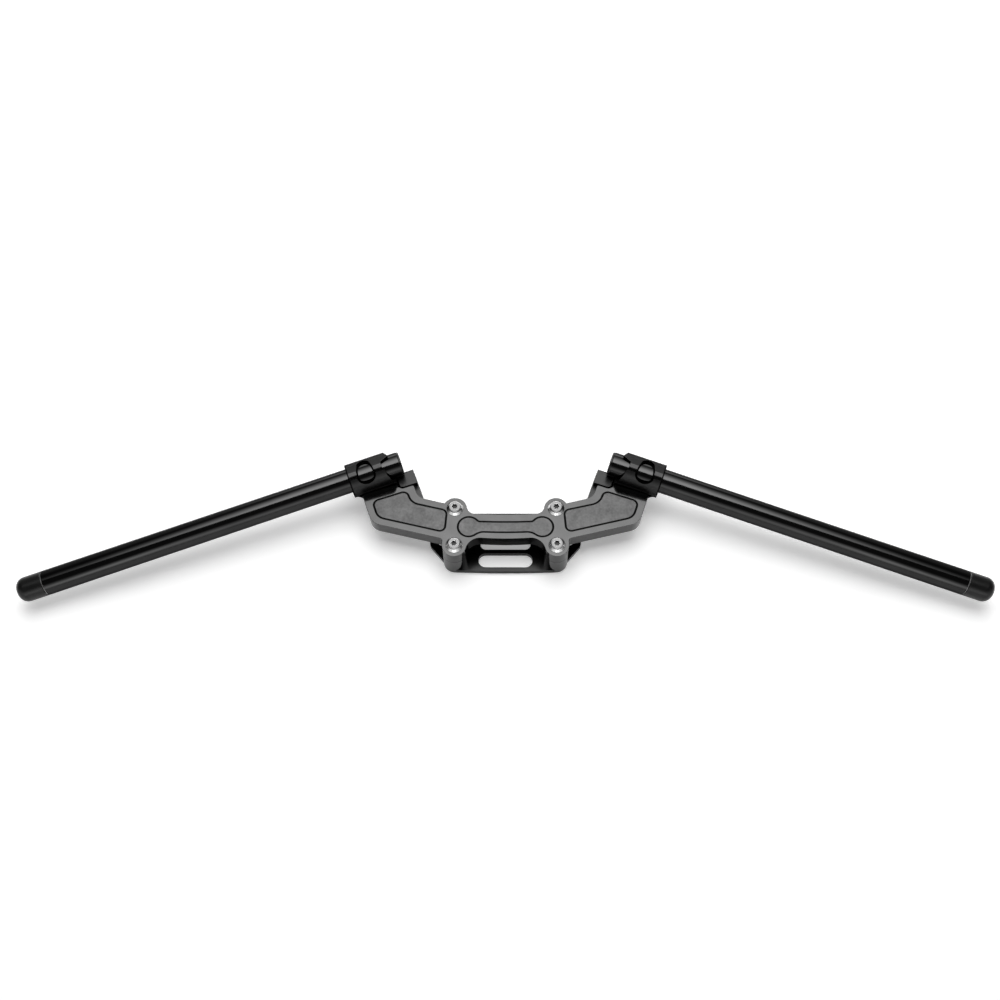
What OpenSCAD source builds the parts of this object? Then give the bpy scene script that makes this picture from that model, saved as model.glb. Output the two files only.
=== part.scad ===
// Two-piece handlebar: a bridge plate with angled wings stands on a windowed
// bracket, and a clamp on the end of each wing holds a straight swept-back bar.
// X runs across the bike, the rider sits towards -Y, and the origin is the
// middle of the two yoke bolt holes on the bracket's bottom face.

/* [Bars] */
// Outside diameter of the bar tubes
bar_d = 22.2; // [21:0.1:23]
// Wall of the bar tubes
bar_wall = 3; // [2:0.5:4]
// Length of each tube outwards from the middle of its clamp
bar_out_len = 297.5; // [220:0.5:340]
// Length of each tube inwards from the middle of its clamp
bar_in_len = 29.5; // [28:0.5:34]
// Sweep of the bars back towards the rider
sweep = 19.6; // [10:0.2:26]
// Droop of the bars towards their outer ends
droop = 3.4; // [0:0.2:6]
// Height of the bar axis over the bridge plate, at the clamp
axis_rise = 8; // [7:0.5:12]
// Length of the outer end caps that shows
cap_len = 23.5; // [18:0.5:30]
// Radius on the nose of the end caps
cap_nose_r = 8; // [3:0.5:9]
// Length of the plugs inside the tubes
plug_len = 16; // [8:1:24]
// Thickness of the rim on the inner plugs
rim_t = 1.5; // [1:0.25:3]

/* [Bridge plate] */
// Thickness of the bridge plate
bridge_t = 14; // [12:0.5:18]
// Distance across the bike between the bridge screws
screw_dx = 91; // [86:0.5:96]
// Distance along the bike between the bridge screws
screw_dy = 36.5; // [34:0.5:40]
// Radius of the round lobes at the bridge screws
boss_r = 10.8; // [9.5:0.1:11.5]
// Front edge of the centre bar, from the screws' middle line
bar_front = 11; // [9:0.5:13]
// Rear edge of the centre bar, from the screws' middle line
bar_rear = 13; // [11:0.5:15]
// How far the middle of the centre bar bows towards the rider
bow = 0.9; // [0:0.1:2]
// Radius of the arches beside the front lobes
front_arch_r = 13; // [9:0.5:15]
// Radius of the arches beside the rear lobes
rear_arch_r = 8; // [5:0.5:10]
// Front edge of the wings where they meet the front lobes
wing_front = 11.6; // [10:0.2:13]
// Radius of the wings' outer front corners
wing_corner_r = 13; // [8:0.5:15]
// Radius of the hollow behind each wing
wing_hollow_r = 12; // [6:0.5:14]

/* [Engraving] */
// Width of the engraved lines
groove_w = 1.3; // [0.8:0.1:2]
// Depth of the engraved lines
groove_depth = 0.8; // [0.4:0.1:1.2]
// Distance of the engraved wing outlines from the wings' outer ends
pad_margin = 6.1; // [4:0.1:8]
// Radius of the round ends of the centre outline
lobe_r = 10.4; // [9:0.1:11]
// Half width of the waist of the centre outline
waist = 5.8; // [4:0.2:7]
// Radius of the front corners of the waist
waist_arch_r = 12; // [6:0.5:14]
// Radius of the rear corners of the waist
waist_corner_r = 3; // [1:0.5:6]

/* [Clamps] */
// Distance of each clamp's middle from the bike's middle plane
clamp_x = 124; // [118:0.5:130]
// Distance of each clamp's middle ahead of the screws' middle line
clamp_y = 49; // [46:0.5:52]
// Outside diameter of the clamp bases
ring_d = 30.8; // [30:0.1:32]
// Outside diameter of the clamp caps
cap_d = 29.2; // [28.4:0.1:30]
// Reach of the rings outwards from their middle
ring_out = 18.5; // [16:0.5:22]
// Reach of the caps inwards from their middle
ring_in = 22; // [20:0.5:24]
// Lean of the split between base and cap, up from level
split_lean = 65; // [60:1:74]
// Gap between base and cap at the split
split_gap = 1; // [0.6:0.1:1.6]
// Width of the window in each ring, at the tube
window_w = 13.2; // [10:0.2:15]
// Slope of the window's sides, outwards for each step away from the bar
window_slope = 0.45; // [0.2:0.05:0.5]
// Depth of the scoop in the inner end of each ring
scoop_d = 8.6; // [4:0.1:9]
// Distance of the clamp screws below the bar axis
lug_screw_y = 15.8; // [15:0.2:17]
// Distance of the clamp screws from each clamp's middle
lug_screw_x = 11; // [9:0.5:13]

/* [Clamp feet] */
// Thickness of the foot that lies in the plate's rebate
foot_t = 7; // [6:0.5:9]
// Reach of the foot outwards from the clamp's middle
foot_out = 10; // [8:0.5:11]
// Reach of the foot inwards from the clamp's middle
foot_in = 41; // [37:0.2:44]
// Front end of the foot, from the bar axis
foot_front = 35; // [32:0.5:38]
// Radius of the flare that spreads the foot out under the ring
flare_r = 7; // [3:0.5:8]
// Front edge of the flare, from the bar axis
flare_front = 10; // [9:0.2:12]
// Gap between the ring and the plate's rear edge
ring_gap = 0.5; // [0.3:0.1:1.5]
// Rear face of the key block, from the bar axis
block_rear = 4; // [2:0.5:8]
// Front face of the key block, from the bar axis
block_front = 18.4; // [14:0.2:20]
// Gap between the key block and the plate
block_gap = 1.5; // [0.5:0.1:2.5]
// Radius of the plate's corner beside the key block
nose_r = 4.5; // [1:0.5:6]

/* [Lower bracket] */
// Height of the bracket under the bridge plate
bracket_h = 21; // [17:0.5:26]
// Thickness of the bracket's floor
floor_t = 5; // [4:0.5:9]
// Width of the floor's ears outside the yoke bolt holes
ear_edge = 11; // [8:0.5:14]
// Rear edge of the floor, from the screws' middle line
floor_rear = 28.5; // [28:0.5:32]
// Width of the lip in front of the wide window
lip_w = 3; // [2.4:0.1:5]
// Depth of the wide window, front to back
wide_win_d = 13.8; // [10:0.2:15]
// Length of the wide window across the bike
wide_win_len = 48.8; // [40:0.2:52]
// Width of the bar between the two windows
win_bar_w = 3.8; // [2:0.1:5]
// Depth of the narrow window, front to back
narrow_win_d = 13; // [8:0.5:16]
// Length of the narrow window across the bike
narrow_win_len = 45.6; // [36:0.2:50]
// Thickness of the side ribs between the posts
rib_t = 9; // [6:0.5:12]
// Distance across the bike between the yoke bolt holes
yoke_dx = 116; // [114:0.5:120]
// Diameter of the yoke bolt holes
yoke_hole_d = 8.5; // [6.5:0.5:9]

/* [Fasteners] */
// Diameter of the bridge screws
bridge_screw_d = 8; // [6:1:8]
// Length of the bridge screws under their heads
bridge_screw_len = 30; // [26:1:32]
// Diameter of the bridge screws' heads
bridge_head_d = 15; // [13:0.5:16]
// Height of the bridge screws' stepped heads
bridge_head_h = 4.2; // [3.5:0.1:5]
// Diameter of the raised step on the bridge screws' heads
bridge_step_d = 11.4; // [10:0.2:12]
// Diameter of the clamp screws
lug_screw_d = 5; // [4:0.5:5]
// Diameter of the foot screws
foot_screw_d = 6; // [5:0.5:6]
// Diameter of the dowels between foot and plate
dowel_d = 5; // [4:0.5:6]
// Play between a fastener and the part it is screwed into
thread_play = 0.05; // [0.02:0.01:0.1]
// Play between a fastener and the part it passes through
pass_play = 0.3; // [0.2:0.05:0.5]
// Play between the clamp and the tube, and between foot and rebate
seat_play = 0.05; // [0.03:0.01:0.1]

/* [Hidden] */

bridge_grey = "dimgray";
clamp_black = [0.12, 0.12, 0.13];
bar_black = [0.07, 0.07, 0.08];
rubber_black = [0.05, 0.05, 0.05];
steel = "silver";

step_angle = 8;
bow_steps = 8;
screw_x = screw_dx / 2;
screw_y = screw_dy / 2;
bar_r = bar_d / 2;
ring_r = ring_d / 2;
cap_r = cap_d / 2;
plate_bottom = bracket_h;
plate_top = bracket_h + bridge_t;
axis_z = plate_top + axis_rise;
rebate_top = plate_bottom + foot_t + seat_play;
overlap = 1;

// Wing outline, measured from the clamp's middle as [outwards, forwards]
wing_out = foot_out + 1;
wing_reach = 44;
wing_in = foot_in - 5.2;
hollow_reach = 33.2;
nose_in = 22.3;
plate_edge = ring_gap + sqrt(pow(ring_r, 2) - pow(axis_rise - wing_out * sin(droop), 2));
key_edge = block_front + block_gap;

// Engraved wing outline
pad_out = wing_out - pad_margin;
pad_in = wing_in - 6.9;
pad_rear = key_edge + 2.9;
pad_front = wing_reach - 3.2;
pad_side = -screw_x - 6.5;
pad_side_rear = 16.9;
pad_side_front = 5.4 - wing_front;

// Foot fasteners, from the clamp's middle as [outwards, forwards]
foot_screw_at = [[4, 27], [-12, 29.5], [-28, 27]];
dowel_at = [[-4, 24], [-20, 24]];
foot_screw_grip = 5;
foot_head_r = foot_screw_d / 2 + 2;
foot_head_h = 4;
dowel_len = 11;
dowel_grip = 5;

// Clamp window and scoops, looked at from the rider's eye
eye_lean = 60;
window_out = 2.2;
window_low = -0.4;
window_high = 10.6;
window_far = 18;
cap_facets = [0, 20, 49, 85];
tooth_in = 0.7 - ring_in;
tooth_up = 10.6;
scoop_corner_r = 2;
far_side = 2 * ring_d;
lug_reach = lug_screw_y + lug_screw_d / 2 + 2.2;
lug_t = 9;
lug_screw_grip = 11;
lug_head_r = lug_screw_d / 2 + 1.7;
lug_head_h = lug_screw_d;
head_seat = 5.5;
socket_r = 2.85;
socket_depth = 2.2;
hex_key_r = 2.3;
hole_end = 0.5;

// Helpers for outlines made of straight edges and round corners
function unit(v) = v / norm(v);
function steps(turn) = max(3, ceil(abs(turn) / step_angle));
function arc(c, r, a0, a1) =
    let (n = steps(a1 - a0))
    [for (i = [0:n]) let (a = a0 + (a1 - a0) * i / n)
        [c[0] + r * cos(a), c[1] + r * sin(a), 0]];
function short_turn(a) = (a + 540) % 360 - 180;
function corner(a, p, b, r) =
    r <= 0 ? [[p[0], p[1]]] :
    let (q = [p[0], p[1]],
        u = unit([a[0], a[1]] - q),
        v = unit([b[0], b[1]] - q),
        half = acos(u * v) / 2,
        c = q + unit(u + v) * r / sin(half),
        s = q + u * r / tan(half) - c,
        e = q + v * r / tan(half) - c,
        a0 = atan2(s[1], s[0]),
        turn = short_turn(atan2(e[1], e[0]) - a0),
        n = steps(turn))
    [for (i = [0:n]) c + r * [cos(a0 + turn * i / n), sin(a0 + turn * i / n)]];
function before(path, i) = path[(i + len(path) - 1) % len(path)];
function after(path, i) = path[(i + 1) % len(path)];
function rounded(path) =
    [for (i = [0:len(path) - 1]) each corner(before(path, i), path[i], after(path, i), path[i][2])];

// A path that runs clockwise, drawn in by d on every side
function right_of(v) = [v[1], -v[0]];
function flat(p) = [p[0], p[1]];
function drawn_in(path, d) =
    [for (i = [0:len(path) - 1])
        let (u = unit(flat(path[i]) - flat(before(path, i))),
            v = unit(flat(after(path, i)) - flat(path[i])),
            nu = right_of(u),
            nv = right_of(v),
            p = flat(path[i]) + d * (nu + nv) / (1 + nu * nv),
            bulges = cross(u, v) < 0)
        [p[0], p[1], bulges ? max(path[i][2] - d, 0.2) : path[i][2] + d]];

function mirrored(path) = [for (i = [len(path) - 1:-1:0]) [-path[i][0], path[i][1], path[i][2]]];
function on_clamp(out, fore, r = 0) =
    [-clamp_x - out * cos(sweep) + fore * sin(sweep),
     clamp_y - out * sin(sweep) - fore * cos(sweep), r];

// Points between x0 and -x0 on an edge that bows towards the rider
function bowed(x0, y, depth) =
    [for (i = [1:bow_steps - 1]) let (x = x0 - 2 * x0 * i / bow_steps)
        [x, y - depth * (1 - pow(x / x0, 2)), 0]];

// Middle of the arch that touches a lobe of radius r at [lx, ly] and the edge at y
function arch_x(lx, ly, r, edge_y, arch_r) =
    lx + sqrt(pow(r + arch_r, 2) - pow(edge_y - ly, 2));
front_arch = [arch_x(-screw_x, -screw_y, boss_r, -bar_front - front_arch_r, front_arch_r),
    -bar_front - front_arch_r];
rear_arch = [arch_x(-screw_x, screw_y, boss_r, bar_rear + rear_arch_r, rear_arch_r),
    bar_rear + rear_arch_r];
front_touch = atan2(-screw_y - front_arch[1], -screw_x - front_arch[0]);
rear_touch = atan2(rear_arch[1] - screw_y, rear_arch[0] + screw_x);

half_bridge = concat(
    arc(front_arch, front_arch_r, 90, front_touch),
    arc([-screw_x, -screw_y], boss_r, front_touch - 180, -180),
    [[-screw_x - boss_r, -wing_front, 3],
     on_clamp(wing_out, wing_reach, wing_corner_r),
     on_clamp(wing_out, plate_edge, 1.5),
     on_clamp(-nose_in, plate_edge, 0.8),
     on_clamp(-nose_in, key_edge, nose_r),
     on_clamp(-wing_in, key_edge, 1.5),
     on_clamp(-wing_in, hollow_reach, wing_hollow_r)],
    arc([-screw_x, screw_y], boss_r, 150, rear_touch),
    arc(rear_arch, rear_arch_r, 180 + rear_touch, 270));
bridge_path = rounded(concat(half_bridge, bowed(rear_arch[0], bar_rear, bow),
    mirrored(half_bridge), bowed(-front_arch[0], -bar_front, bow)));

// Engraved outlines
wing_pad = [
    on_clamp(pad_out, pad_rear, 6),
    on_clamp(-pad_in, pad_rear, 6),
    on_clamp(-pad_in, hollow_reach + 3, wing_hollow_r),
    [pad_side, pad_side_rear, 6],
    [pad_side - 1.6, pad_side_front, 5.5],
    on_clamp(pad_out, pad_front, 11)];
lobe_x = screw_x - boss_r - 1.9;
waist_front = arch_x(-lobe_x, 0, lobe_r, waist + waist_arch_r, waist_arch_r);
waist_rear = arch_x(-lobe_x, 0, lobe_r, waist + waist_corner_r, waist_corner_r);
front_turn = atan2(waist + waist_arch_r, waist_front + lobe_x);
rear_turn = atan2(waist + waist_corner_r, waist_rear + lobe_x);
function bone_half(d) = concat(
    arc([waist_front, -waist - waist_arch_r], waist_arch_r + d, 90, 180 - front_turn),
    arc([-lobe_x, 0], lobe_r - d, -front_turn, -180),
    arc([-lobe_x, 0], lobe_r - d, 180, rear_turn),
    arc([waist_rear, waist + waist_corner_r], waist_corner_r + d, 180 + rear_turn, 270));
function bone(d) = rounded(concat(bone_half(d), bowed(waist_rear, waist - d, bow / 2),
    mirrored(bone_half(d)), bowed(-waist_front, d - waist, bow / 2)));

// Placing: the tube frame has X outwards along the bar, Y towards the rider, Z up
module both_sides(left) {
    if (left) children();
    else mirror([1, 0, 0]) children();
}
module at_foot() translate([-clamp_x, clamp_y, 0]) rotate([0, 0, 180 + sweep]) children();
module at_bar() translate([-clamp_x, clamp_y, axis_z]) rotate([0, 0, 180 + sweep])
    rotate([0, droop, 0]) children();
module at_split() at_bar() rotate([split_lean, 0, 0]) children();
module rod(r, x0, x1) translate([x0, 0, 0]) rotate([0, 90, 0]) cylinder(r = r, h = x1 - x0, $fn = 96);
module at_bridge_screws() for (sx = [-1, 1], sy = [-1, 1])
    translate([sx * screw_x, sy * screw_y, 0]) children();

// Bridge plate
module ring_line(outer, inner) difference() {
    polygon(outer);
    polygon(inner);
}
module engraving() translate([0, 0, plate_top - groove_depth])
    linear_extrude(groove_depth + overlap) {
        ring_line(bone(0), bone(groove_w));
        for (side = [0, 1]) mirror([side, 0, 0])
            ring_line(rounded(wing_pad), rounded(drawn_in(wing_pad, groove_w)));
    }
module foot_rebate() at_foot() {
    translate([-foot_in - seat_play, -overlap, plate_bottom - overlap])
        cube([foot_in + foot_out + 2 * overlap + 3, foot_front + seat_play + overlap,
            foot_t + seat_play + overlap]);
    for (p = foot_screw_at) translate([p[0], p[1], rebate_top - overlap])
        cylinder(r = foot_screw_d / 2 + thread_play, h = foot_screw_grip + hole_end + overlap, $fn = 32);
    for (p = dowel_at) translate([p[0], p[1], rebate_top - overlap])
        cylinder(r = dowel_d / 2 + thread_play, h = dowel_grip + overlap, $fn = 32);
}
module top_bridge() color(bridge_grey) difference() {
    translate([0, 0, plate_bottom]) linear_extrude(bridge_t) polygon(bridge_path);
    at_bridge_screws() translate([0, 0, plate_bottom - overlap])
        cylinder(d = bridge_screw_d + 2 * pass_play, h = bridge_t + 2 * overlap, $fn = 48);
    engraving();
    for (side = [0, 1]) mirror([side, 0, 0]) foot_rebate();
}

// Lower bracket
floor_x = yoke_dx / 2 + ear_edge;
floor_front = screw_y + boss_r;
ear_front = 4.2;
ear_rear = 12;
ear_r = 7;
half_floor = [
    [-screw_x - 2.8, -floor_front, boss_r - 1.8],
    [-floor_x, -ear_front, ear_r],
    [-floor_x, ear_rear, ear_r],
    [-screw_x - 6, floor_rear, 9]];
floor_path = rounded(concat(half_floor, mirrored(half_floor), bowed(screw_x, -floor_front, bow)));
wide_win_y = lip_w - floor_front;
wide_win_r = 6.5;
narrow_win_r = 5;
narrow_win_y = wide_win_y + wide_win_d + win_bar_w;
module window(y0, length, depth, r) translate([0, 0, -overlap]) linear_extrude(floor_t + 2 * overlap)
    polygon(rounded([
        [-length / 2, y0, r], [-length / 2, y0 + depth, r],
        [length / 2, y0 + depth, r], [length / 2, y0, r]]));
module lower_bracket() color(bridge_grey) difference() {
    union() {
        linear_extrude(floor_t) polygon(floor_path);
        at_bridge_screws() cylinder(r = boss_r, h = bracket_h, $fn = 96);
        for (s = [-1, 1]) translate([s * screw_x - rib_t / 2, -screw_y, 0])
            cube([rib_t, screw_dy, bracket_h]);
    }
    window(wide_win_y, wide_win_len, wide_win_d, wide_win_r);
    window(narrow_win_y, narrow_win_len, narrow_win_d, narrow_win_r);
    at_bridge_screws() translate([0, 0, plate_top - bridge_screw_len - 1])
        cylinder(d = bridge_screw_d + 2 * thread_play, h = bridge_screw_len, $fn = 48);
    for (s = [-1, 1]) translate([s * yoke_dx / 2, 0, -overlap])
        cylinder(d = yoke_hole_d, h = floor_t + 2 * overlap, $fn = 48);
}

// Bridge screw with a stepped head and a six-lobed socket
module stepped_head() rotate_extrude($fn = 96) polygon([
    [0, 0], [bridge_head_d / 2, 0], [bridge_head_d / 2, 0.9],
    [bridge_step_d / 2, 1.8], [bridge_step_d / 2 - 0.3, bridge_head_h - 0.5],
    [bridge_step_d / 2 - 0.9, bridge_head_h], [0, bridge_head_h]]);
module lobed_socket() linear_extrude(socket_depth + overlap) {
    circle(r = socket_r * 0.78, $fn = 32);
    for (i = [0:5]) rotate(i * 60) translate([socket_r * 0.78, 0]) circle(r = socket_r * 0.22, $fn = 16);
}
module bridge_screw(sx, sy) color(steel) translate([sx * screw_x, sy * screw_y, plate_top])
    difference() {
        union() {
            stepped_head();
            translate([0, 0, -bridge_screw_len]) cylinder(d = bridge_screw_d, h = bridge_screw_len, $fn = 48);
        }
        translate([0, 0, bridge_head_h - socket_depth]) lobed_socket();
    }

// Clamp
module from_eye(x, offset) rotate([eye_lean, 0, 0]) translate([x, 0, offset]) children();
module window_end(offset) from_eye(window_out, offset) rotate([-90, 0, 0])
    cylinder(r1 = window_r(0), r2 = window_r(window_far), h = window_far, $fn = 64);
function window_r(far) = window_w / 2 + window_slope * (far - bar_r);
module window_cut() {
    window_end(window_low);
    window_end(window_high);
    from_eye(window_out, window_low) linear_extrude(window_high - window_low) polygon([
        [-window_r(0), 0], [window_r(0), 0],
        [window_r(window_far), window_far], [-window_r(window_far), window_far]]);
}

// The crown at a ring's inner end: one tooth up between a deep front scoop and a shallow rear one
scoop_in = scoop_d - ring_in;
cut_in = -ring_in - 8;
scoop_path = rounded([
    [tooth_in, tooth_up, 0],
    [scoop_in + 0.2, tooth_up - 3.1, scoop_corner_r],
    [scoop_in, 2, 0],
    [scoop_in - 1.1, 0.6, 0],
    [scoop_in - 2.2, -5.8, 0],
    [scoop_in - 4.6, -11.2, 0],
    [-ring_in - 1, -ring_r - 2, 0],
    [cut_in, -ring_r - 2, 0],
    [cut_in, tooth_up, 0]]);
rear_notch = [[tooth_in, tooth_up], [4.6 - ring_in, ring_r + 0.6],
    [cut_in, ring_r + 0.6], [cut_in, tooth_up]];
module toward_eye(from, to) from_eye(0, 0) rotate([-90, 0, 0]) mirror([0, 1, 0])
    translate([0, 0, from]) linear_extrude(to - from) children();
module crown_cut() {
    toward_eye(0, ring_d) polygon(scoop_path);
    toward_eye(-ring_d, ring_d) polygon(rear_notch);
}
module bar_space() at_bar() rod(bar_r + seat_play, -far_side, far_side);
module beyond_split(sign) at_split() mirror([0, 0, sign > 0 ? 0 : 1])
    translate([-far_side, -far_side, split_gap / 2]) cube([2 * far_side, 2 * far_side, far_side]);
module lug_profile(sign) {
    translate([-lug_reach, sign > 0 ? 0 : -lug_t]) square([lug_reach, lug_t]);
}
module along_bar(x0, x1) translate([x0, 0, 0]) rotate([90, 0, 90]) linear_extrude(x1 - x0) children();

block_in = foot_in - 0.9;
block_out = nose_in + block_gap;
block_path = rounded([[-block_in, block_rear, 0], [-block_out, block_rear, 0],
    [-block_out, block_front, nose_r - block_gap], [-block_in, block_front, 0]]);
web_rear = -2;
web_front = 9;
web_in = ring_in + 4;
flare_out = foot_out + flare_r + 0.8;
foot_path = rounded([[-foot_in, block_rear, 0], [-foot_in, foot_front, 0], [foot_out, foot_front, 0],
    [foot_out, flare_front, flare_r], [flare_out, flare_front, 0], [flare_out, web_rear, 0],
    [-web_in, web_rear, 0], [-web_in, block_rear, 0]]);
module foot() {
    linear_extrude(foot_t) polygon(foot_path);
    linear_extrude(bridge_t) polygon(block_path);
    translate([-web_in, web_rear, 0])
        cube([web_in + foot_out, web_front - web_rear, axis_rise + bridge_t - ring_r * 0.4]);
}
module clamp_base() color(clamp_black) difference() {
    union() {
        intersection() {
            at_split() {
                rod(ring_r, -ring_in, ring_out);
                along_bar(-ring_in, ring_out) lug_profile(-1);
            }
            beyond_split(-1);
        }
        at_foot() translate([0, 0, plate_bottom]) foot();
    }
    bar_space();
    beyond_split(1);
    at_bar() {
        window_cut();
        crown_cut();
    }
    for (x = [-lug_screw_x, lug_screw_x]) at_split() translate([x, -lug_screw_y, -lug_screw_grip])
        cylinder(d = lug_screw_d + 2 * thread_play, h = lug_screw_grip + overlap, $fn = 32);
    at_foot() {
        for (p = foot_screw_at) translate([p[0], p[1], plate_bottom - overlap]) {
            cylinder(d = foot_screw_d + 2 * pass_play, h = foot_t + 2 * overlap, $fn = 32);
            cylinder(r = foot_head_r + pass_play, h = foot_head_h + overlap, $fn = 32);
        }
        for (p = dowel_at) translate([p[0], p[1], plate_bottom - overlap])
            cylinder(d = dowel_d + 2 * thread_play, h = foot_t + 2 * overlap, $fn = 32);
    }
}
cap_profile = concat([[0, 0]], [for (a = cap_facets) cap_r * [cos(a), sin(a)]],
    [[-ring_r, cap_r * 1.2], [-ring_r, 0]]);
module clamp_cap() color(clamp_black) difference() {
    intersection() {
        at_split() {
            intersection() {
                rod(cap_r, -ring_in, ring_out);
                along_bar(-ring_in, ring_out) polygon(cap_profile);
            }
            along_bar(-ring_in, ring_out) lug_profile(1);
        }
        beyond_split(1);
    }
    bar_space();
    at_bar() {
        window_cut();
        crown_cut();
    }
    for (x = [-lug_screw_x, lug_screw_x]) at_split() translate([x, -lug_screw_y, 0]) {
        translate([0, 0, -overlap])
            cylinder(d = lug_screw_d + 2 * pass_play, h = lug_t + 2 * overlap, $fn = 32);
        translate([0, 0, head_seat]) cylinder(r = lug_head_r + pass_play, h = lug_t, $fn = 32);
    }
}
module cap_screw(x) color(steel) at_split() translate([x, -lug_screw_y, head_seat]) difference() {
    union() {
        cylinder(r = lug_head_r, h = lug_head_h, $fn = 48);
        translate([0, 0, -head_seat - lug_screw_grip + 1])
            cylinder(d = lug_screw_d, h = head_seat + lug_screw_grip, $fn = 32);
    }
    translate([0, 0, lug_head_h - socket_depth]) cylinder(r = hex_key_r, h = socket_depth + overlap, $fn = 6);
}
module foot_screws() color(steel) at_foot() for (p = foot_screw_at) translate([p[0], p[1], plate_bottom])
    difference() {
        union() {
            cylinder(r = foot_head_r, h = foot_head_h, $fn = 48);
            cylinder(d = foot_screw_d, h = foot_t + foot_screw_grip, $fn = 32);
        }
        translate([0, 0, -overlap]) cylinder(r = hex_key_r, h = socket_depth + overlap, $fn = 6);
    }
module foot_dowels() color(steel) at_foot() for (p = dowel_at)
    translate([p[0], p[1], plate_bottom + hole_end]) cylinder(d = dowel_d, h = dowel_len, $fn = 32);

// Bars and their ends
module bar_tube() color(bar_black) at_bar() difference() {
    rod(bar_r, -bar_in_len, bar_out_len);
    rod(bar_r - bar_wall, -bar_in_len - overlap, bar_out_len + overlap);
}
module end_cap() color(rubber_black) at_bar() {
    rod(bar_r - bar_wall - seat_play, bar_out_len - plug_len, bar_out_len + overlap);
    translate([bar_out_len, 0, 0]) rotate([0, 90, 0]) rotate_extrude($fn = 96) {
        square([bar_r, cap_len - cap_nose_r]);
        square([bar_r - cap_nose_r, cap_len]);
        intersection() {
            translate([bar_r - cap_nose_r, cap_len - cap_nose_r]) circle(r = cap_nose_r, $fn = 64);
            square([bar_r, cap_len]);
        }
    }
}
module inner_plug() color(rubber_black) at_bar() {
    rod(bar_r - bar_wall - seat_play, -bar_in_len - overlap / 2, plug_len - bar_in_len);
    rod(bar_r - 0.4, -bar_in_len - rim_t, -bar_in_len);
}

top_bridge();
lower_bracket();
bridge_screw(-1, -1);  // bridge_screw_front_left
bridge_screw(1, -1);  // bridge_screw_front_right
bridge_screw(-1, 1);  // bridge_screw_rear_left
bridge_screw(1, 1);  // bridge_screw_rear_right
both_sides(true) clamp_base();  // left_clamp_base
both_sides(false) clamp_base();  // right_clamp_base
both_sides(true) clamp_cap();  // left_clamp_cap
both_sides(false) clamp_cap();  // right_clamp_cap
both_sides(true) cap_screw(lug_screw_x);  // left_cap_screw_outer
both_sides(false) cap_screw(lug_screw_x);  // right_cap_screw_outer
both_sides(true) cap_screw(-lug_screw_x);  // left_cap_screw_inner
both_sides(false) cap_screw(-lug_screw_x);  // right_cap_screw_inner
both_sides(true) foot_screws();  // left_foot_screws
both_sides(false) foot_screws();  // right_foot_screws
both_sides(true) foot_dowels();  // left_foot_dowels
both_sides(false) foot_dowels();  // right_foot_dowels
both_sides(true) bar_tube();  // left_bar_tube
both_sides(false) bar_tube();  // right_bar_tube
both_sides(true) end_cap();  // left_end_cap
both_sides(false) end_cap();  // right_end_cap
both_sides(true) inner_plug();  // left_inner_plug
both_sides(false) inner_plug();  // right_inner_plug
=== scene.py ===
"""Looks of a two-piece clip-on handlebar: black anodised plate, bracket, clamps and bars, steel screws.

Metres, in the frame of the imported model: X across the bike, the rider towards -Y, Z up.
"""
from math import cos, pi, radians, sin

import bpy
from mathutils import Matrix, Vector


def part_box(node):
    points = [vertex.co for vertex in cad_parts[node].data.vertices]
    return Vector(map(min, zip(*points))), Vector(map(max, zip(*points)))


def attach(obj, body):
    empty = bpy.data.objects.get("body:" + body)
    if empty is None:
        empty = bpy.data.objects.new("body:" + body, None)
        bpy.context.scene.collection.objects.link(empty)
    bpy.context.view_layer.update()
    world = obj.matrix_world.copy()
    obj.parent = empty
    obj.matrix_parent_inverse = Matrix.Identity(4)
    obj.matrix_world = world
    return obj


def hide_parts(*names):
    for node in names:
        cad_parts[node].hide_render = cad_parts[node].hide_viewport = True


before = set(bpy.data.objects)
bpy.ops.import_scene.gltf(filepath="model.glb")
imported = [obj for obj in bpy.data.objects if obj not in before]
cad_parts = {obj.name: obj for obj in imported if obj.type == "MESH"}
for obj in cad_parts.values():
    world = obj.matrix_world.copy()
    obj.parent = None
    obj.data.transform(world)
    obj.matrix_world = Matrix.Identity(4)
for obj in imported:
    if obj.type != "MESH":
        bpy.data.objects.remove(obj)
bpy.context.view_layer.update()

MM = 0.001
SIDES = (("left", -1), ("right", 1))

# Bars and clamps, as in the model. Distances along a bar start at the middle of its clamp
PLATE_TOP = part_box("top_bridge")[1].z
CLAMP_AT = Vector((-124 * MM, 49 * MM, PLATE_TOP + 8 * MM))  # the middle of the left one
SWEEP = radians(19.6)
DROOP = radians(3.4)
RING_R = 15.4 * MM
BAR_R = 11.1 * MM
BAR_WALL = 3 * MM
BAR_OUT = 297.5 * MM
BAR_IN = 29.5 * MM
CAP_LEN = 23.5 * MM
CAP_NOSE = 8 * MM
NOSE_FLAT = 0.3 * MM
RIM_STEP = 0.4 * MM
RIM_T = 1.5 * MM
PLUG_LEN = 16 * MM
SEAT_PLAY = 0.05 * MM
BORE_R = BAR_R - BAR_WALL
PLUG_R = BORE_R - SEAT_PLAY
RIM_R = BAR_R - RIM_STEP
BRIDGE_SCREWS = [f"bridge_screw_{end}_{side}" for end in ("front", "rear") for side in ("left", "right")]

# Rounds on machined edges
PLATE_EASE = 0.4 * MM
BRACKET_EASE = 0.3 * MM
CLAMP_EASE = 0.2 * MM
SCREW_EASE = 0.2 * MM
BAR_EASE = 0.6 * MM
EASE_STEPS = 2

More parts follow.
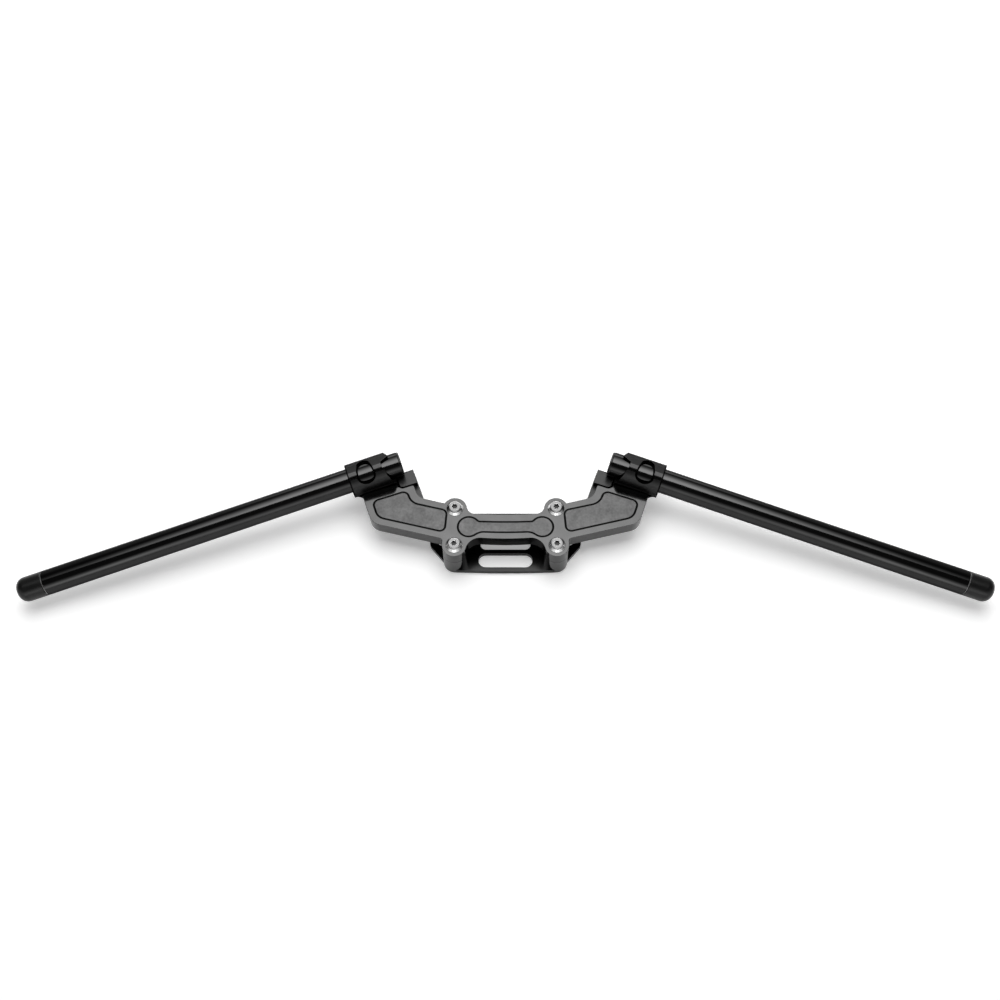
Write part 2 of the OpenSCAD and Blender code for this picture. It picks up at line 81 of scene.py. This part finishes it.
# Where the faces lie that get a finish of their own or a painted shade
LINE_FROM = 0.45 * MM  # an engraved line is deeper than the round on the plate's edge
LINE_DEPTH = 0.8 * MM
BAY_HALF = 36 * MM  # the plate's front bay, to each side of the middle
BAY_BACK = -10 * MM
# The rounds beyond this get a black painted shade along the wings' ends.
WING_END = 105 * MM  # the rounds at the wings' ends lie beyond this
POST_R = 10.8 * MM
HEAD_DEPTH = 5 * MM
SOCKET_R = 3.2 * MM
TOUCH = 0.1 * MM  # what lies this near counts as touching
HAIR = 0.01 * MM  # and this near as level

# Lines on a clamp, as half widths, with the soft edge of each, the share of black in the dark ones, and how
# much lighter than the clamp the light one in the split is
# The dark lines are painted shade in the clamp's gaps, the light one a painted highlight.
END_LINE = 1.1 * MM
SPLIT_LINE = 1.5 * MM
SPLIT_HIGHLIGHT = 0.35 * MM
LINE_SOFT = 0.25 * MM
LINE_SHADE_SHARE = 0.9
HIGHLIGHT_GAIN = 1.6

# The flare of the clamp's foot: where it starts along the bar, how far it reaches before and behind the bar's
# axis, how high its underside lies at most in the model, and how high it lies here
FLARE_FROM = 10.9 * MM
FLARE_FRONT = 16.5 * MM
FLARE_BACK = 4 * MM
FLARE_LOW = 24 * MM
FLARE_UNDER = 26.5 * MM

# A bridge screw's flange: the heights of its cone above the plate, and how far each moves
FLANGE_LOW = 0.9 * MM
FLANGE_HIGH = 1.8 * MM
FLANGE_DROP = 0.6 * MM
FLANGE_LIFT = 0.5 * MM

# Finishes by number: faces and rounds on every piece, then what each kind of piece has besides
FACE, ROUND = 0, 1
PLATE_LINE, PLATE_PAD, PLATE_BAY_SHADE = 2, 3, 4
POST = 2
CLAMP_CUT = 2
SCREW_TOP, SOCKET_WALL, SOCKET_FLOOR = 2, 3, 4
BRIGHT_END = 1


# Mesh helpers

def alone(piece):
    """Leaves one piece selected and active."""
    bpy.ops.object.select_all(action="DESELECT")
    piece.select_set(True)
    bpy.context.view_layer.objects.active = piece


def edit(piece):
    """Opens a piece in edit mode with all of it selected."""
    alone(piece)
    bpy.ops.object.mode_set(mode="EDIT")
    bpy.ops.mesh.select_all(action="SELECT")


def leave_edit():
    """Goes back to object mode."""
    bpy.ops.object.mode_set(mode="OBJECT")


def finish_piece(piece, node, slot, *finishes, angle=32):
    """Smooths a piece, gives it its finishes and lets it stand for a node of the model."""
    alone(piece)
    bpy.ops.object.shade_smooth_by_angle(angle=radians(angle))
    weigh = piece.modifiers.new("weigh", "WEIGHTED_NORMAL")
    weigh.keep_sharp = True
    bpy.ops.object.modifier_apply(modifier="weigh")
    kinds = [polygon.material_index for polygon in piece.data.polygons]
    piece.data.materials.clear()
    for finish in finishes:
        piece.data.materials.append(finish)
    for polygon, kind in zip(piece.data.polygons, kinds):
        polygon.material_index = kind
    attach(piece, "root")
    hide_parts(node)


def eased(node, width, angle=28, clamped=True, reshape=None):
    """A copy of a node's solid, reshaped if asked. Each edge that turns by more than the angle is rounded."""
    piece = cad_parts[node].copy()
    piece.data = piece.data.copy()
    piece.name = node + "_eased"
    piece.parent = None
    bpy.context.scene.collection.objects.link(piece)
    edit(piece)
    bpy.ops.mesh.remove_doubles(threshold=0.002 * MM)
    bpy.ops.mesh.dissolve_limited(angle_limit=radians(0.6))
    leave_edit()
    if reshape:
        reshape(piece)
    for polygon in piece.data.polygons:
        polygon.use_smooth = False
        polygon.material_index = FACE
    ease = piece.modifiers.new("ease", "BEVEL")
    ease.width = width
    ease.segments = EASE_STEPS
    ease.limit_method = "ANGLE"
    ease.angle_limit = radians(angle)
    ease.miter_outer = "MITER_ARC"
    ease.use_clamp_overlap = clamped
    ease.material = ROUND
    bpy.ops.object.modifier_apply(modifier="ease")
    return piece


def turned(name, rings, steps=144, bored=False):
    """A lathe-turned piece along +Z. Each ring is (radius, height); a bored one closes on its first ring."""
    radius, height = rings[0]
    bpy.ops.object.select_all(action="DESELECT")
    bpy.ops.mesh.primitive_circle_add(vertices=steps, radius=radius, location=(0, 0, 0))
    piece = bpy.context.object
    piece.name = name
    edit(piece)
    bpy.ops.transform.translate(value=(0, 0, height))
    if not bored:
        bpy.ops.mesh.edge_face_add()
    for next_radius, next_height in rings[1:]:
        bpy.ops.mesh.extrude_region_move(TRANSFORM_OT_translate={"value": (0, 0, next_height - height)})
        grow = next_radius / radius
        bpy.ops.transform.resize(value=(grow, grow, 1), center_override=(0, 0, next_height))
        radius, height = next_radius, next_height
    if bored:
        bpy.ops.mesh.select_all(action="DESELECT")
        bpy.ops.mesh.select_mode(type="EDGE")
        bpy.ops.mesh.select_non_manifold(extend=False)
        bpy.ops.mesh.bridge_edge_loops()
    bpy.ops.mesh.select_all(action="SELECT")
    bpy.ops.mesh.normals_make_consistent(inside=False)
    leave_edit()
    return piece


def domed(radius, middle_r, middle_z, climb=88, steps=12):
    """Rings of a turned piece along an arc, which starts facing outwards and climbs this many degrees."""
    turns = [radians(climb * i / steps) for i in range(steps + 1)]
    return [(middle_r + radius * cos(a), middle_z + radius * sin(a)) for a in turns]


def bar_place(sign, along):
    """A place on a bar at a distance along it. Its +Z runs outwards. The sign is -1 left, 1 right."""
    outwards = Vector((sign * cos(DROOP) * cos(SWEEP), -cos(DROOP) * sin(SWEEP), -sin(DROOP)))
    middle = Vector((-sign * CLAMP_AT.x, CLAMP_AT.y, CLAMP_AT.z))
    turn = outwards.to_track_quat("Z", "Y").to_matrix().to_4x4()
    return Matrix.Translation(middle + outwards * along) @ turn


def put(piece, place):
    """Moves a piece to its place and keeps the place in its mesh."""
    piece.matrix_world = place
    alone(piece)
    bpy.ops.object.transform_apply(location=True, rotation=True, scale=True)


# Changes of shape before the edges are rounded

def lift_flare(piece, place):
    """Raises the underside of the foot's flare, so that it stays behind the ring."""
    to_bar = place.inverted()
    for point in piece.data.vertices:
        at = to_bar @ point.co
        ahead = (place @ Vector((0, 0, at.z))).y - point.co.y
        clear = at.to_2d().length > RING_R + TOUCH
        if at.z > FLARE_FROM and clear and -FLARE_BACK < ahead < FLARE_FRONT and point.co.z < FLARE_LOW:
            point.co.z = FLARE_UNDER


def steepen_flange(piece):
    """Gives a bridge screw's flange a steeper cone, which catches the light in front."""
    for point in piece.data.vertices:
        height = point.co.z - PLATE_TOP
        if abs(height - FLANGE_LOW) < TOUCH / 2:
            point.co.z -= FLANGE_DROP
        elif abs(height - FLANGE_HIGH) < TOUCH / 2:
            point.co.z += FLANGE_LIFT


# Faces that get a finish of their own, many of them a painted shade or highlight, told by their place and by
# the way that they look

def mark_plate(piece):
    """Marks the lines engraved in the plate and the outline of its wings' ends, which get a black painted
    shade, the wall of its bay, painted darker as shade, and its pads.
    """
    points = piece.data.vertices
    top_faces = {}
    for polygon in piece.data.polygons:
        depth = PLATE_TOP - min(points[i].co.z for i in polygon.vertices)
        reach = abs(polygon.center.x)
        looks_up = polygon.normal.z > 0.99
        looks_at_rider = polygon.normal.y < -0.5
        looks_out = abs(polygon.normal.x) > 0.4
        # The lines get a black painted shade.
        if LINE_FROM < depth < LINE_DEPTH + TOUCH:
            polygon.material_index = PLATE_LINE
        elif looks_up and depth < HAIR:
            for key in polygon.edge_keys:
                top_faces.setdefault(key, []).append(polygon.index)
        # The bay's wall gets a darker painted shade.
        elif looks_at_rider and reach < BAY_HALF and polygon.center.y < BAY_BACK:
            polygon.material_index = PLATE_BAY_SHADE
        # The rounds at the wings' ends get the same black: a painted shade along their outline.
        elif looks_out and reach > WING_END and polygon.material_index == ROUND:
            polygon.material_index = PLATE_LINE
    mark_pads(piece, top_faces)


def mark_pads(piece, top_faces):
    """Marks the pads: each patch of the top but the largest, the rim. The top's faces are listed by edge."""
    patch = {face: face for faces in top_faces.values() for face in faces}

    def first(face):
        while patch[face] != face:
            face = patch[face]
        return face

    for faces in top_faces.values():
        for face in faces[1:]:
            patch[first(face)] = first(faces[0])
    areas = {}
    for face in patch:
        areas[first(face)] = areas.get(first(face), 0) + piece.data.polygons[face].area
    rim = max(areas, key=areas.get)
    for face in patch:
        if first(face) != rim:
            piece.data.polygons[face].material_index = PLATE_PAD


def blacken_rims(piece, kind):
    """Gives the rounds beside the faces of one kind that kind of finish too."""
    polygons = piece.data.polygons
    for _ in range(EASE_STEPS):
        edges = {key for polygon in polygons if polygon.material_index == kind for key in polygon.edge_keys}
        for polygon in polygons:
            if polygon.material_index == ROUND and edges.intersection(polygon.edge_keys):
                polygon.material_index = kind


def mark_bracket(piece):
    """Marks the bracket's posts, which keep the plain colour; the rest of the bracket gets a darker painted
    shade.
    """
    axes = [(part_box(node)[0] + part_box(node)[1]) / 2 for node in BRIDGE_SCREWS]
    for polygon in piece.data.polygons:
        for axis in axes:
            out = (polygon.center - axis).to_2d().length
            looks_aside = abs(polygon.normal.z) < 0.5
            if looks_aside and out < POST_R + 2 * TOUCH and polygon.material_index == FACE:
                polygon.material_index = POST


def mark_clamp(piece, place):
    """Marks the cut faces around the tube: the split, the window and the ring's ends, which get a near-black
    painted shade.
    """
    to_bar = place.inverted()
    for polygon in piece.data.polygons:
        out = (to_bar @ polygon.center).to_2d()
        normal = (to_bar.to_3x3() @ polygon.normal).to_2d()
        looks_aside = abs(normal.dot(out.normalized())) < 0.8
        if looks_aside and BAR_R < out.length < RING_R and polygon.material_index == FACE:
            polygon.material_index = CLAMP_CUT


def mark_screw(piece):
    """Marks a bridge screw's top, and the wall and the floor of its socket, which get a darker painted shade.
    """
    top = max(point.co.z for point in piece.data.vertices)
    low, high = (Vector(piece.bound_box[i]) for i in (0, 6))
    axis = (low + high) / 2
    for polygon in piece.data.polygons:
        out = (polygon.center - axis).to_2d().length
        depth = top - polygon.center.z
        if out < SOCKET_R and TOUCH < depth < HEAD_DEPTH:
            polygon.material_index = SOCKET_WALL if polygon.normal.z < 0.9 else SOCKET_FLOOR
        elif depth < TOUCH and polygon.normal.z > 0.95:
            polygon.material_index = SCREW_TOP


def ring_lines(cap, place):
    """How far along the bar the ring's outer end lies, and its split's normal in the bar's own frame."""
    to_bar = place.inverted()
    end = max((to_bar @ point.co).z for point in cap.data.vertices)
    split, most = Vector((0, 1, 0)), 0
    for polygon in cap.data.polygons:
        normal = (to_bar.to_3x3() @ polygon.normal).normalized()
        out = (to_bar @ polygon.center).to_2d().normalized()
        along_bar = abs(normal.z) < 0.1
        looks_aside = abs(normal.to_2d().dot(out)) < 0.3
        if along_bar and looks_aside and polygon.area > most:
            split, most = normal, polygon.area
    return end, split


# Shader helpers

def grey(level):
    """A grey of this level, as red, green and blue."""
    return (level, level, level)


class Term:
    """A shader socket on which Python arithmetic adds Math nodes."""

    def __init__(self, net, socket):
        self.net = net
        self.socket = socket

    def beside(self, output):
        """Another output of the same node."""
        return Term(self.net, self.socket.node.outputs[output])

    def _math(self, operation, *values):
        return self.net.add("ShaderNodeMath", {"operation": operation}, *values)

    def __add__(self, other):
        return self._math("ADD", self, other)

    def __radd__(self, other):
        return self._math("ADD", other, self)

    def __sub__(self, other):
        return self._math("SUBTRACT", self, other)

    def __rsub__(self, other):
        return self._math("SUBTRACT", other, self)

    def __mul__(self, other):
        return self._math("MULTIPLY", self, other)

    def __rmul__(self, other):
        return self._math("MULTIPLY", other, self)

    def __abs__(self):
        return self._math("ABSOLUTE", self)


class Net:
    """A node tree that is added to by one method."""

    def __init__(self, tree):
        self.tree = tree

    def add(self, kind, settings, *values, output=0, **named):
        """Adds a node: its settings first, then the values or links of its sockets, by order or by name."""
        node = self.tree.nodes.new(kind)
        for key, value in settings.items():
            if key == "stops":
                while len(node.color_ramp.elements) < len(value):
                    node.color_ramp.elements.new(1)
                for stop, (place, level) in zip(node.color_ramp.elements, value):
                    stop.position, stop.color = place, (*grey(level), 1)
            else:
                setattr(node, key, value)
        by_name = [(key.replace("_", " "), value) for key, value in named.items()]
        for key, value in [*enumerate(values), *by_name]:
            if isinstance(value, Term):
                self.tree.links.new(value.socket, node.inputs[key])
            else:
                node.inputs[key].default_value = value
        return Term(self, node.outputs[output])

    def axes(self, vector):
        """The X, Y and Z of a vector."""
        across = self.add("ShaderNodeSeparateXYZ", {}, vector)
        return across, across.beside("Y"), across.beside("Z")

    def ramp(self, value, *stops):
        """A grey for each height of a value, from stops of (height, level)."""
        return self.add("ShaderNodeValToRGB", {"stops": stops}, value)

    def mix(self, share, first, level):
        """A share of a grey of this level in the first colour."""
        return self.add("ShaderNodeMixRGB", {}, share, first, (*grey(level), 1))

    def link(self, value, node, socket):
        """Links a value to a socket of a node that the tree came with."""
        self.tree.links.new(value.socket, self.tree.nodes[node].inputs[socket])


class Finish(Net):
    """One material: a Principled shader and the nodes that feed it."""

    def __init__(self, name, **fixed):
        self.material = bpy.data.materials.new(name)
        self.material.use_nodes = True
        super().__init__(self.material.node_tree)
        self.shader = self.tree.nodes["Principled BSDF"]
        for socket, value in fixed.items():
            self.shader.inputs[socket.replace("_", " ")].default_value = value

    def place(self):
        """The place on the piece, in metres."""
        return self.add("ShaderNodeTexCoord", {}, output="Object")

    def noise(self, where, scale, detail=2.0, rough=0.5):
        """A noise from 0 to 1, with this many grains to a metre."""
        return self.add("ShaderNodeTexNoise", {}, Vector=where, Scale=scale, Detail=detail, Roughness=rough)

    def feed(self, socket, value):
        """Links a value to the shader."""
        self.link(value, "Principled BSDF", socket)

    def bump(self, height, strength, distance):
        """Feeds the shader's normal with a bump of this height."""
        bump = self.add("ShaderNodeBump", {}, Height=height, Strength=strength, Distance=distance)
        self.feed("Normal", bump)


# Finishes of the handlebar

DARK_RIM = 0.45  # an anodised skin mirrors less than bare metal at a low angle


def skin(finish, where, level, roughness, grain, grain_scale, mottle=0.12):
    """Feeds the gloss and the fine grain of anodised aluminium, and gives its cloudy colour."""
    cloud = finish.noise(where, 90, detail=3)
    speck = finish.noise(where, grain_scale, rough=0.6)
    finish.feed("Roughness", roughness - 0.04 + cloud * 0.08)
    finish.bump(speck, grain, 0.05 * MM)
    return finish.ramp(cloud * 0.5 + speck * 0.5, (0.3, level * (1 - mottle)), (0.7, level * (1 + mottle)))


def anodised(name, level, roughness, grain, grain_scale=1400, mottle=0.12, rim=1.0):
    """Black anodised aluminium, blasted before the bath: fine grain, cloudy colour, satin gloss."""
    finish = Finish(name, Metallic=1, Specular_Tint=(*grey(rim), 1))
    finish.feed("Base Color", skin(finish, finish.place(), level, roughness, grain, grain_scale, mottle))
    return finish.material


def clamp_with_painted_lines(name, level, roughness, grain, grain_scale, ring_place, ring_end, split_normal):
    """Black anodised aluminium with painted shade lines at the ring's outer end and its split, and a painted
    highlight line in the split, the same on both sides.
    """
    finish = Finish(name, Metallic=1, Specular_Tint=(*grey(DARK_RIM), 1))
    where = finish.place()
    across, ahead, height = finish.axes(where)
    point = finish.add("ShaderNodeCombineXYZ", {}, abs(across), ahead, height)

    def along(axis):
        """The distance of a point from the clamp's middle along an axis."""
        reach = finish.add("ShaderNodeVectorMath", {"operation": "DOT_PRODUCT"}, point, axis, output="Value")
        return reach - ring_place.translation.dot(axis)

    def line(distance, half):
        """1 on a line of this half width and 0 beside it, by the distance from its middle."""
        return finish.add("ShaderNodeMapRange", {}, Value=abs(distance), From_Min=half,
                          From_Max=half + LINE_SOFT, To_Min=1.0, To_Max=0.0)

    from_end = along(ring_place.to_3x3() @ Vector((0, 0, 1))) - ring_end
    from_split = along(ring_place.to_3x3() @ split_normal)
    end_line = line(from_end, END_LINE)
    split_line = line(from_split, SPLIT_LINE)
    # The dark lines at the ring's end and along the split are painted shade.
    dark = finish.add("ShaderNodeMath", {"operation": "MAXIMUM"}, end_line, split_line)
    lined = finish.mix(dark * LINE_SHADE_SHARE, skin(finish, where, level, roughness, grain, grain_scale), 0)
    # The light line in the middle of the split is a painted highlight.
    finish.feed("Base Color", finish.mix(line(from_split, SPLIT_HIGHLIGHT), lined, level * HIGHLIGHT_GAIN))
    return finish.material


def drawn_bar(name, level, roughness):
    """Glossy black anodised tube with a faint cloudy gloss."""
    finish = Finish(name, Metallic=1, Specular_Tint=(*grey(DARK_RIM), 1))
    where = finish.place()
    cloud = finish.noise(where, 40, detail=3)
    speck = finish.noise(where, 1500)
    finish.feed("Base Color", finish.ramp(cloud, (0.3, level * 0.94), (0.7, level * 1.06)))
    finish.feed("Roughness", roughness - 0.02 + cloud * 0.04)
    finish.bump(speck, 0.04, 0.02 * MM)
    return finish.material


def matte_plastic(name, level, roughness):
    """Matte black moulded plastic with a fine spark-eroded grain."""
    finish = Finish(name, Metallic=0, Specular_IOR_Level=0.35)
    where = finish.place()
    grain = finish.noise(where, 1800, detail=3)
    cloud = finish.noise(where, 120)
    finish.feed("Base Color", finish.ramp(cloud, (0.3, level * 0.8), (0.7, level * 1.2)))
    finish.feed("Roughness", roughness + grain * 0.1)
    finish.bump(grain, 0.25, 0.06 * MM)
    return finish.material


def bright_steel(name, level, roughness):
    """Stainless steel, tumbled bright."""
    finish = Finish(name, Metallic=1)
    cloud = finish.noise(finish.place(), 300, detail=3)
    finish.feed("Base Color", finish.ramp(cloud, (0.3, level * 0.92), (0.7, level)))
    finish.feed("Roughness", roughness + cloud * 0.08)
    finish.bump(cloud, 0.05, 0.05 * MM)
    return finish.material


plate_rim = anodised("plate anodised", level=0.059, roughness=0.13, grain=0.08)
# Painted shade: the wall of the plate's front bay is much darker than the plate.
bay_wall_painted_shade = anodised("plate front wall, painted shade", level=0.010, roughness=0.2, grain=0.08, rim=0.6)
pad_floor = anodised("plate pads", level=0.053, roughness=0.24, grain=0.5, grain_scale=500, mottle=0.35)
# Painted highlight: the plate's rounds are lighter than its faces.
edge_painted_highlight = anodised("plate edges, painted highlight", level=0.08, roughness=0.22, grain=0.05)
# Painted shade: near black in the lines, along the wings' ends and on the screw sockets' walls.
painted_shade_black = anodised("engraved lines", level=0.005, roughness=0.5, grain=0.05)
post_black = anodised("bracket posts", level=0.08, roughness=0.13, grain=0.08)
# Painted shade: the bracket under the plate is much darker than its posts, its rounds a little less dark.
bracket_painted_shade = anodised("bracket floor, painted shade", level=0.020, roughness=0.2, grain=0.08)
bracket_edge_painted_shade = anodised("bracket edges, painted shade", level=0.03, roughness=0.22, grain=0.05)
# Painted shade: the clamps' cut faces in the split, the window and at the ring's ends are near black.
clamp_cut_painted_shade = anodised("clamp cut faces and edges, painted shade", level=0.006, roughness=0.4, grain=0.05, rim=DARK_RIM)
bar_black = drawn_bar("bar anodised", level=0.042, roughness=0.12)
# A light grey ring on the round at the tube's outer end.
bright_end_ring = anodised("bright ring at the tube end", level=0.8, roughness=0.5, grain=0.05)
cap_black = matte_plastic("cap plastic", level=0.006, roughness=0.24)
screw_steel = bright_steel("screw steel", level=0.8, roughness=0.16)
# Painted shade: the head's top and its socket's floor are darker copies of the steel.
screw_top_painted_shade = bright_steel("screw head top, painted shade", level=0.16, roughness=0.3)
socket_painted_shade = bright_steel("screw socket floor, painted shade", level=0.03, roughness=0.3)
dark_steel = bright_steel("blackened steel", level=0.10, roughness=0.3)

# Plate
plate = eased("top_bridge", PLATE_EASE, clamped=False)
mark_plate(plate)
# The rounds beside the lines get the same painted shade, which widens the dark lines.
blacken_rims(plate, PLATE_LINE)
finish_piece(plate, "top_bridge", "bridge", plate_rim, edge_painted_highlight, painted_shade_black, pad_floor, bay_wall_painted_shade)

# Bracket
bracket = eased("lower_bracket", BRACKET_EASE)
mark_bracket(bracket)
finish_piece(bracket, "lower_bracket", "bracket", bracket_painted_shade, bracket_edge_painted_shade, post_black)

# Clamps
right_ring = bar_place(1, 0)
ring_end, split_normal = ring_lines(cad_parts["right_clamp_cap"], right_ring)
# The clamps' colour, with painted shade lines and a painted highlight line.
clamp_painted_lines = clamp_with_painted_lines("clamp anodised with painted lines", level=0.036, roughness=0.34, grain=0.25, grain_scale=900,
                          ring_place=right_ring, ring_end=ring_end, split_normal=split_normal)
for side, sign in SIDES:
    ring = bar_place(sign, 0)
    for part, reshape in (("clamp_base", lambda piece: lift_flare(piece, ring)), ("clamp_cap", None)):
        node = f"{side}_{part}"
        clamp = eased(node, CLAMP_EASE, angle=16, clamped=False, reshape=reshape)
        mark_clamp(clamp, ring)
        finish_piece(clamp, node, "clamp", clamp_painted_lines, clamp_painted_lines, clamp_cut_painted_shade, angle=18)

# Bridge screws
for node in BRIDGE_SCREWS:
    screw = eased(node, SCREW_EASE, angle=24, reshape=steepen_flange)
    mark_screw(screw)
    finish_piece(screw, node, "steel", screw_steel, screw_steel, screw_top_painted_shade, painted_shade_black, socket_painted_shade)

# Screws and dowels under the clamps
for side, sign in SIDES:
    for part in ("cap_screw_outer", "cap_screw_inner", "foot_screws", "foot_dowels"):
        node = f"{side}_{part}"
        finish_piece(eased(node, SCREW_EASE), node, "dark_steel", dark_steel, dark_steel)


# Bars and their ends

def bar_tube(side, sign):
    """The straight tube, with a bright ring on the round at its outer end."""
    tube = turned(f"{side}_tube", [
        (BAR_R - BAR_EASE, -BAR_IN), (BAR_R, BAR_EASE - BAR_IN),
        (BAR_R, BAR_OUT - BAR_EASE), (BAR_R - BAR_EASE, BAR_OUT),
        (BORE_R, BAR_OUT), (BORE_R, -BAR_IN)], bored=True)
    for polygon in tube.data.polygons:
        if BAR_OUT - BAR_EASE < polygon.center.z < BAR_OUT - 0.1 * BAR_EASE:
            polygon.material_index = BRIGHT_END
    put(tube, bar_place(sign, 0))
    finish_piece(tube, f"{side}_bar_tube", "bar", bar_black, bright_end_ring)


def end_cap(side, sign):
    """The domed cap on the outer end, with its plug in the tube."""
    nose = domed(CAP_NOSE, BAR_R - CAP_NOSE, CAP_LEN - CAP_NOSE)
    cap = turned(f"{side}_cap", [
        (PLUG_R, -PLUG_LEN), (PLUG_R, 0), (BAR_R - BAR_EASE, 0), (BAR_R, BAR_EASE),
        *nose, (NOSE_FLAT, CAP_LEN)])
    put(cap, bar_place(sign, BAR_OUT))
    finish_piece(cap, f"{side}_end_cap", "cap", cap_black)


def inner_plug(side, sign):
    """The plug in the inner end, with its thin rim outside."""
    plug = turned(f"{side}_plug", [
        (RIM_R - BAR_EASE, -RIM_T), (RIM_R, BAR_EASE - RIM_T), (RIM_R, 0), (PLUG_R, 0), (PLUG_R, PLUG_LEN)])
    put(plug, bar_place(sign, -BAR_IN))
    finish_piece(plug, f"{side}_inner_plug", "cap", cap_black)


for side, sign in SIDES:
    bar_tube(side, sign)
    end_cap(side, sign)
    inner_plug(side, sign)


# Floor

FLOOR_SIZE = 12
FLOOR_GREY = 0.9
# The lift is lower near the middle, which darkens the object's shadows there: a painted shadow.
FLOOR_LIFT = ((0.08, 0.28), (0.33, 0.31), (0.45, 0.4), (0.6, 0.44))  # by the distance from the middle
MIRRORED_LIFT = 0.1


def floor_finish():
    """White paper: what the camera sees is lifted to white, less so near the middle, which deepens the
    shadows there as painted shadow, and the object's shadow stays.
    """
    finish = Finish("floor", Base_Color=(*grey(FLOOR_GREY), 1), Roughness=1, Specular_IOR_Level=0)
    camera_sees = finish.add("ShaderNodeLightPath", {}, output="Is Camera Ray")
    mirrored = camera_sees.beside("Is Glossy Ray")
    away = finish.add("ShaderNodeVectorMath", {"operation": "LENGTH"}, finish.place(), output="Value")
    lift = camera_sees * finish.ramp(away, *FLOOR_LIFT) + mirrored * MIRRORED_LIFT
    glow = finish.add("ShaderNodeEmission", {}, Strength=lift)
    paper = Term(finish, finish.shader.outputs["BSDF"])
    finish.link(finish.add("ShaderNodeAddShader", {}, paper, glow), "Material Output", "Surface")
    return finish.material


bpy.ops.object.select_all(action="DESELECT")
bpy.ops.mesh.primitive_plane_add(size=FLOOR_SIZE, location=(0, 0, 0))
floor = bpy.context.object
floor.name = "floor"
floor.data.materials.append(floor_finish())


# Light. A softbox's stops are (place on its face from 0 to 1, share of its level)

def softbox(name, place, tilt, width, height, level, across, along):
    """A softbox that looks down, tilted by so many degrees, whose brightness changes over its face."""
    lamp = bpy.data.lights.new(name, "AREA")
    lamp.shape = "RECTANGLE"
    lamp.size, lamp.size_y = width, height
    lamp.energy = level * width * height * pi
    lamp.use_nodes = True
    net = Net(lamp.node_tree)
    at_x, at_y, _ = net.axes(net.add("ShaderNodeNewGeometry", {}, output="Parametric"))
    share = net.ramp(at_x, *across) * net.ramp(at_y, *along)
    net.link(share, "Emission", "Strength")
    box = bpy.data.objects.new(name, lamp)
    box.location = place
    box.rotation_euler = (radians(tilt), 0, 0)
    box.visible_camera = False
    bpy.context.scene.collection.objects.link(box)


def both_ways(*stops):
    """Stops from one side to the middle, and the same back out."""
    return (*stops, *((1 - at, share) for at, share in reversed(stops)))


softbox("overhead softbox", place=(0, 1.21, 1.3), tilt=0, width=2.1, height=2.78, level=5.4,
        across=both_ways((0, 0.02), (0.043, 0.04), (0.114, 0.15), (0.186, 0.36),
                         (0.252, 0.58), (0.314, 0.85), (0.376, 1)),
        along=((0, 1), (0.155, 0.98), (0.245, 0.83), (0.345, 0.6), (0.486, 0.4), (0.709, 0.21), (1, 0.16)))
softbox("front wall", place=(0, -5, 2.6), tilt=90, width=6, height=4.6, level=1.9,
        across=both_ways((0, 0.3), (0.267, 0.33), (0.383, 0.38), (0.453, 0.62), (0.467, 1)),
        along=((0, 0), (0.1, 0.4), (0.3, 1), (0.45, 0.8), (0.7, 0.3), (1, 0)))
softbox("rear wall", place=(0, 5, 1.1), tilt=-90, width=6, height=2.2, level=3,
        across=both_ways((0, 0), (0.11, 0.35), (0.25, 1)),
        along=((0, 1), (0.8, 1), (1, 0.8)))

# Room: white to the camera. What the metal mirrors of it is bright low in front, dark overhead, dim behind
WALL_BY_HEIGHT = ((0, 1), (0.3, 0.8), (0.5, 0.3), (0.7, 0.02), (1, 0.02))
WALL_BY_DEPTH = ((0, 1), (0.15, 1), (0.4, 0.1), (0.7, 0.1), (1, 0.4))
ROOM_LIFT = 0.05

world = bpy.data.worlds.new("studio")
bpy.context.scene.world = world
world.use_nodes = True
world.node_tree.nodes["Background"].inputs["Color"].default_value = (*grey(1), 1)
room = Net(world.node_tree)
camera_sees = room.add("ShaderNodeLightPath", {}, output="Is Camera Ray")
mirrored = camera_sees.beside("Is Glossy Ray") + camera_sees.beside("Is Transmission Ray")
_, depth, height = room.axes(room.add("ShaderNodeTexCoord", {}, output="Generated"))
wall = room.ramp(height, *WALL_BY_HEIGHT) * room.ramp(depth * 0.5 + 0.5, *WALL_BY_DEPTH)
room.link(camera_sees + mirrored * (wall + ROOM_LIFT), "Background", "Strength")

# Camera
CAMERA_AT = (0, -0.4310, 0.8961)
CAMERA_TILT = radians(28)
SENSOR_MM = 36
LENS_MM = 38.88
LENS_SHIFT = -0.0055

lens = bpy.data.cameras.new("camera")
lens.sensor_width = SENSOR_MM
lens.lens = LENS_MM
lens.shift_x = LENS_SHIFT
lens.clip_start, lens.clip_end = 0.05, 30
camera = bpy.data.objects.new("camera", lens)
camera.location = CAMERA_AT
camera.rotation_euler = (CAMERA_TILT, 0, 0)
bpy.context.scene.collection.objects.link(camera)
bpy.context.scene.camera = camera
bpy.context.scene.view_settings.view_transform = "Standard"
